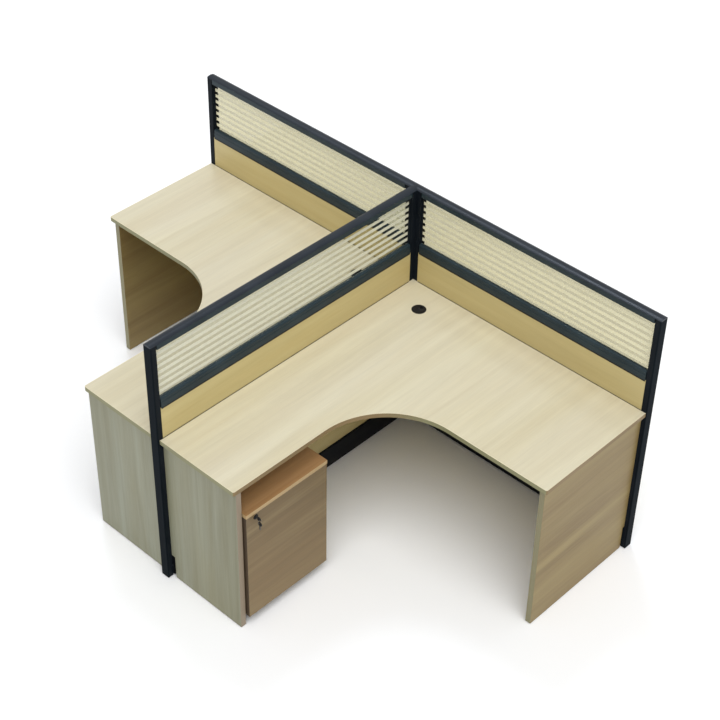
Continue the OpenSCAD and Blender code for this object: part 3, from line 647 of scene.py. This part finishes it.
def add_glazing_bead(screen, material):
    low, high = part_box(f"{screen}_glass")
    run, depth, place = screen_axes(screen)
    face, out = (high[depth], 1) if screen == "centre" else (low[depth], -1)
    inset = GROOVE - GLASS_PLAY + GLAZING_END_IN
    bm = bmesh.new()
    add_strip(bm, (low[run] + inset, high[run] - inset), place, [
        (face + out * off * MM, low.z + GROOVE + up * MM) for off, up in GLAZING_BEAD])
    add_trim(f"{screen}_glazing_bead", bm, SMOOTH_BEAD, material)


# Painted shadow lines: thin black beads on each desktop's edging, along the gap where it meets the
# screens.
# The outline is in shares of the width, away from the screen, and of the height.
EDGING_T = 2.0 * MM
BEAD_WIDE = 1.8 * MM
BEAD_HIGH = 1.0 * MM
BEAD_END_IN = 26 * MM
BEAD = ((0.0, 0.0), (1.0, 0.0), (0.92, 0.5), (0.7, 0.85), (0.4, 1.0), (0.0, 1.0))


def add_painted_shadow_beads(side, material):
    low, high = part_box(f"{side}_desktop")
    m = 1 if side == "right" else -1
    inner, outer = sorted((abs(low.x), abs(high.x)))
    inner -= EDGING_T
    back, front, top = high.y + EDGING_T, low.y, high.z
    outline = [(off * BEAD_WIDE, top + up * BEAD_HIGH) for off, up in BEAD]
    bm = bmesh.new()
    add_strip(bm, (inner + BEAD_END_IN, outer),
              lambda along, across, z: (m * along, back - across, z), outline)
    add_strip(bm, (-back + BEAD_END_IN, -front),
              lambda along, across, z: (m * (inner + across), -along, z), outline)
    add_trim(f"{side}_painted_shadow_beads", bm, SMOOTH_BEAD, material)


# Cross-recessed screws. The head and the recess are in shares of the radius and of the height.
SCREW_SIDES = 48
SCREW_HIGH = 0.5
SCREW_HEAD = ((1.0, 0.0), (1.0, 0.25), (0.93, 0.6), (0.78, 0.88), (0.64, 1.0))
RECESS = ((1.0, 1.0), (0.8, 0.25))
RECESS_ARM = 0.55
RECESS_HALF = 0.14
SMALLEST_SINE = 0.01


def add_screw(bm, at, normal, radius):
    """A pan head with a cross recess, its seat at a point and its top along the normal."""
    turn = Vector(normal).to_track_quat("Z", "X").to_matrix()

    def rim(angle):
        return radius

    def cross(angle):
        arm = (angle + math.pi / 4) % (math.pi / 2) - math.pi / 4
        return radius * min(RECESS_ARM, RECESS_HALF / max(abs(math.sin(arm)), SMALLEST_SINE))

    rings = []
    for outline, shares in ((rim, SCREW_HEAD), (cross, RECESS)):
        for wide, high in shares:
            ring = []
            for k in range(SCREW_SIDES):
                angle = 2 * math.pi * k / SCREW_SIDES
                r = wide * outline(angle)
                point = (r * math.cos(angle), r * math.sin(angle), SCREW_HIGH * radius * high)
                ring.append(bm.verts.new(Vector(at) + turn @ Vector(point)))
            rings.append(ring)
    for one, two in zip(rings, rings[1:]):
        add_band(bm, one, two)
    bm.faces.new(rings[-1])
    bm.faces.new(list(reversed(rings[0])))


def add_screws(name, body, places, material):
    bm = bmesh.new()
    for at, normal, radius in places:
        add_screw(bm, at, normal, radius)
    new_piece(name, mesh_from(bm, name, SMOOTH_METAL), material, body)


# Where the brackets and the castor plates have their holes, as in the part's source
DOWN = (0, 0, -1)
CLEAT_IN = 95 * MM
CLEAT_T = 2 * MM
CLEAT_HOLE = 18 * MM
CLEAT_PAIR = (-10 * MM, 10 * MM)
GUSSET_T = 3 * MM
GUSSET_HOLE_X = 42 * MM
GUSSET_HOLES_Y = (60 * MM, 135 * MM, 210 * MM)
BRACKET_SCREW_R = 3.6 * MM


def bracket_screws(side):
    """The screws in the gusset and the four angle cleats under one desktop."""
    m = 1 if side == "right" else -1
    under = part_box(f"{side}_desktop")[0].z
    side_low, side_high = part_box(f"{side}_side_panel")
    near_low, near_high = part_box(f"{side}_near_panel")
    inner_x = min(abs(side_low.x), abs(side_high.x))
    near_x = sorted((abs(near_low.x), abs(near_high.x)))
    r = BRACKET_SCREW_R
    places = [((m * GUSSET_HOLE_X, -y, under - GUSSET_T), DOWN, r) for y in GUSSET_HOLES_Y]
    for y in (side_high.y - CLEAT_IN, side_low.y + CLEAT_IN):
        for d in CLEAT_PAIR:
            places.append(((m * (inner_x - CLEAT_T), y + d, under - CLEAT_HOLE), (-m, 0, 0), r))
            places.append(((m * (inner_x - CLEAT_HOLE), y + d, under - CLEAT_T), DOWN, r))
    for x in (near_x[0] + CLEAT_IN, near_x[1] - CLEAT_IN):
        for d in CLEAT_PAIR:
            places.append(((m * (x + d), near_high.y + CLEAT_T, under - CLEAT_HOLE), (0, 1, 0), r))
            places.append(((m * (x + d), near_high.y + CLEAT_HOLE, under - CLEAT_T), DOWN, r))
    return places


PLATE_HOLES = (-14 * MM, 14 * MM)
PLATE_T = 2 * MM
PLATE_SCREW_R = 3.4 * MM


def castor_screws():
    places = []
    for joint in frame["joints"]:
        if joint["name"].startswith("castor_swivel"):
            x, y, z = joint["pos_m"]
            places += [((x + i, y + j, z - PLATE_T), DOWN, PLATE_SCREW_R)
                       for i in PLATE_HOLES for j in PLATE_HOLES]
    return places


# Keys: a cut steel blade in a moulded black bow, in mm along x from the tip as the solids are
KEY_LONG = 39.5
BLADE_L = 16.0
BLADE_HALF = 3.5
BLADE_T = 2.0
BLADE_EDGE = 0.12
TIP_L = 1.5
TIP_HALF = 1.8
SHOULDER_L = 6.5
SHOULDER_HALF = 4.4
KEY_CUTS = (1.2, 2.2, 0.8, 1.7, 1.1)
CUTS_FROM = 2.0
CUT_PITCH = (BLADE_L - 2 * CUTS_FROM) / len(KEY_CUTS)
CUT_SLOPE_END = 0.3
CUT_FLAT_END = 0.6
BOW_R = 10.0
BOW_T = 2.4
WEB_IN = 0.8
WEB_T = BOW_T - 0.6
WEB_EDGE = 0.2
RIM_WIDE = 1.5
RIM_EDGE = 0.35
HOLE_AT = 34.8
HOLE_R = 2.2
EYE_WIDE = 1.2
EYE_EDGE = 0.25
PLATE_ROUND = 2
CIRCLE_SIDES = 96
# The split ring: a round wire in two turns of many steps, from an angle in radians
RING_R = 9.0
WIRE_R = 0.4
WIRE_ROUND = 5
RING_TURNS = 2
RING_STEPS = 64
RING_START = 0.7


def circle(x, r, around=1):
    angles = [2 * math.pi * k / CIRCLE_SIDES for k in range(CIRCLE_SIDES)]
    return [(x + r * math.cos(angle), around * r * math.sin(angle)) for angle in angles]


def flat_plate(name, outlines, thick, edge):
    """A plate from closed outlines in mm with rounded rims; holes run the other way round."""
    curve = bpy.data.curves.new(name, "CURVE")
    curve.dimensions = "2D"
    curve.fill_mode = "BOTH"
    curve.extrude = thick * MM / 2 - edge * MM
    curve.bevel_depth = edge * MM
    curve.bevel_resolution = PLATE_ROUND
    curve.offset = -edge * MM
    for points in outlines:
        spline = curve.splines.new("POLY")
        spline.points.add(len(points) - 1)
        for point, (x, y) in zip(spline.points, points):
            point.co = (x * MM, y * MM, 0, 1)
        spline.use_cyclic_u = True
    return curve_mesh(name, curve)


def curve_mesh(name, curve):
    holder = bpy.data.objects.new(name, curve)
    mesh = bpy.data.meshes.new_from_object(holder)
    mesh.name = name
    bpy.data.objects.remove(holder)
    bpy.data.curves.remove(curve)
    mesh.materials.clear()
    smooth(mesh, SMOOTH_METAL)
    return mesh


def joined(name, meshes, turn):
    bm = bmesh.new()
    for mesh in meshes:
        bm.from_mesh(mesh)
    bmesh.ops.transform(bm, matrix=turn, verts=bm.verts)
    return mesh_from(bm, name, SMOOTH_METAL)


def blade_outline():
    shoulder_end = BLADE_L + SHOULDER_L
    points = [(shoulder_end, SHOULDER_HALF), (BLADE_L, SHOULDER_HALF), (BLADE_L, BLADE_HALF),
              (TIP_L, BLADE_HALF), (0.0, TIP_HALF), (0.0, -TIP_HALF), (TIP_L, -BLADE_HALF)]
    for k, deep in enumerate(KEY_CUTS):
        x = CUTS_FROM + k * CUT_PITCH
        points += [(x, -BLADE_HALF), (x + CUT_SLOPE_END * CUT_PITCH, deep - BLADE_HALF),
                   (x + CUT_FLAT_END * CUT_PITCH, deep - BLADE_HALF)]
    points += [(BLADE_L - TIP_L, -BLADE_HALF), (BLADE_L, -BLADE_HALF),
               (BLADE_L, -SHOULDER_HALF), (shoulder_end, -SHOULDER_HALF)]
    return points


def add_key(name, turn, body, materials):
    blade = [flat_plate(f"{name}_blade", [blade_outline()], BLADE_T, BLADE_EDGE)]
    bow_x = KEY_LONG - BOW_R
    hole = circle(HOLE_AT, HOLE_R, -1)
    bow = [
        flat_plate("bow", [circle(bow_x, BOW_R - WEB_IN), hole], WEB_T, WEB_EDGE),
        flat_plate("rim", [circle(bow_x, BOW_R), circle(bow_x, BOW_R - RIM_WIDE, -1)],
                   BOW_T, RIM_EDGE),
        flat_plate("eye", [circle(HOLE_AT, HOLE_R + EYE_WIDE), hole], BOW_T, EYE_EDGE)]
    return (
        new_piece(f"{name}_blade", joined(f"{name}_blade", blade, turn), materials["steel"],
                  body),
        new_piece(f"{name}_bow", joined(f"{name}_bow", bow, turn), materials["black"],
                  body))


def add_split_ring(centre, body, material):
    curve = bpy.data.curves.new("split_ring", "CURVE")
    curve.dimensions = "3D"
    curve.bevel_depth = WIRE_R * MM
    curve.bevel_resolution = WIRE_ROUND
    curve.use_fill_caps = True
    spline = curve.splines.new("POLY")
    spline.points.add(RING_TURNS * RING_STEPS)
    for k, point in enumerate(spline.points):
        turns = k / RING_STEPS
        angle = 2 * math.pi * turns + RING_START
        point.co = (centre.x + (turns - RING_TURNS / 2) * WIRE_R * MM,
                    centre.y + RING_R * MM * math.cos(angle),
                    centre.z + RING_R * MM * math.sin(angle), 1)
    return new_piece("split_ring", curve_mesh("split_ring", curve), material, body)


def add_keys(materials):
    low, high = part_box("door_key")
    middle = (low + high) / 2
    upright = Matrix.Rotation(math.pi / 2, 4, "X")
    turn = Matrix.Translation((low.x, middle.y, middle.z)) @ upright
    for piece in add_key("door_key", turn, "lock", materials):
        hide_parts("door_key")
    low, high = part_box("key_ring")
    ring_at = Vector((high.x - BOW_R * MM, middle.y, high.z - (RING_R + 2 * WIRE_R) * MM))
    tip_down = Matrix.Rotation(-math.pi / 2, 4, "Y")
    turn = Matrix.Translation((ring_at.x, middle.y, low.z)) @ tip_down @ upright
    pieces = add_key("spare_key", turn, "ring", materials)
    for piece in (*pieces, add_split_ring(ring_at, "ring", materials["steel"])):
        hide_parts("key_ring")


make_camera()
make_studio()
materials = make_materials()
for width, names in EDGE_ROUND.items():
    for name in names:
        ease_edges(NODES[name], width)
part_film(NODES["frosted_bands"])
for screen in SCREENS:
    add_gasket(screen, materials["gasket"])
    add_seal_painting_shadow(screen, materials["gasket"])
    add_glazing_bead(screen, materials["rail"])
for side in ("right", "left"):
    add_painted_shadow_beads(side, materials["gasket"])
    add_screws(f"{side}_bracket_screws", "workstation", bracket_screws(side), materials["zinc"])
add_screws("castor_screws", "cabinet", castor_screws(), materials["zinc"])
add_keys(materials)
